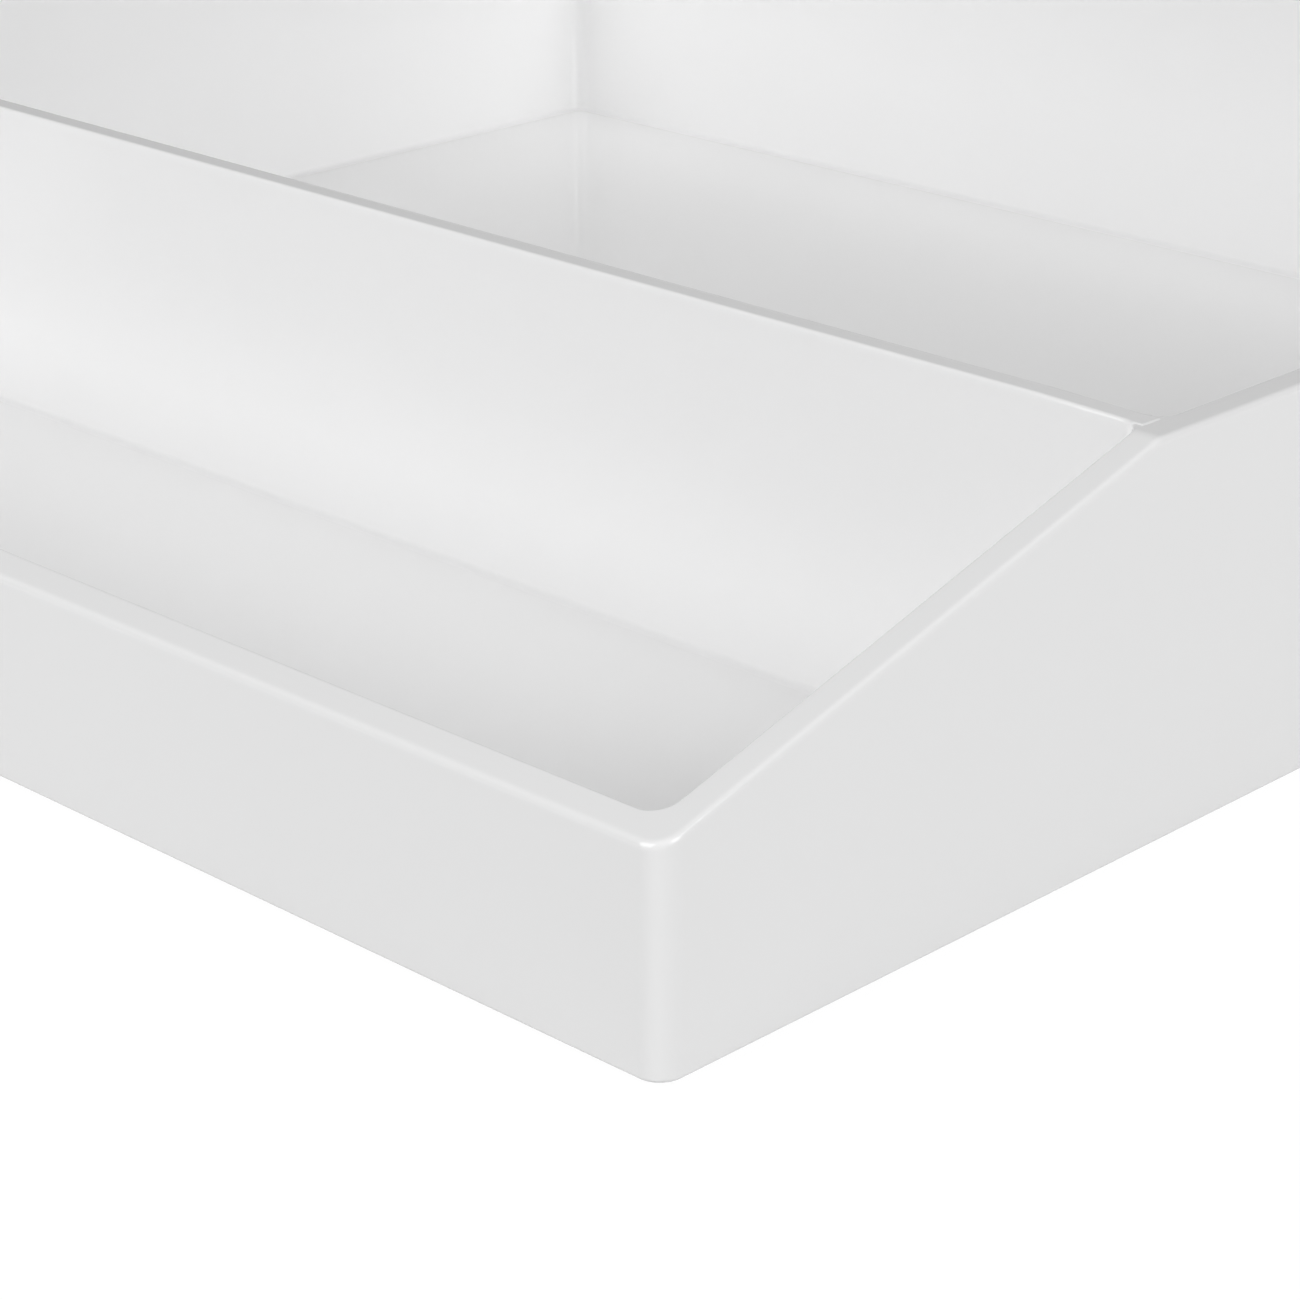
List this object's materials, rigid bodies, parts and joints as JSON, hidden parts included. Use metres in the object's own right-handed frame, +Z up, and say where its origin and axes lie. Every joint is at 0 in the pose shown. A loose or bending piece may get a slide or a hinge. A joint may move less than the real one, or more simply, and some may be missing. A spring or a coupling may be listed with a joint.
{
  "type": "desk drawer organizer",
  "caption": "Open moulded tray with a low sloping front, a shallow pen tray ahead of a full-width divider, one large rear compartment and anti-slip foot pads.",
  "frame": {"origin": "on the surface that the feet stand on, under the middle of the tray's outer box", "axes": "+X across the tray, along the front wall; +Y from the low front wall to the rear wall; +Z up"},
  "size_m": [0.24, 0.2284, 0.0413],
  "materials": {
    "plastic": "glossy white moulding",
    "silicone": "matte grey silicone",
    "adhesive": "matte pale adhesive film"
  },
  "bodies": {
    "root": {"tray_shell": "plastic", "foot_pad_front_left": "silicone", "foot_pad_front_right": "silicone", "foot_pad_rear_left": "silicone", "foot_pad_rear_right": "silicone", "foot_adhesive_front_left": "adhesive", "foot_adhesive_front_right": "adhesive", "foot_adhesive_rear_left": "adhesive", "foot_adhesive_rear_right": "adhesive"}
  },
  "joints": []
}
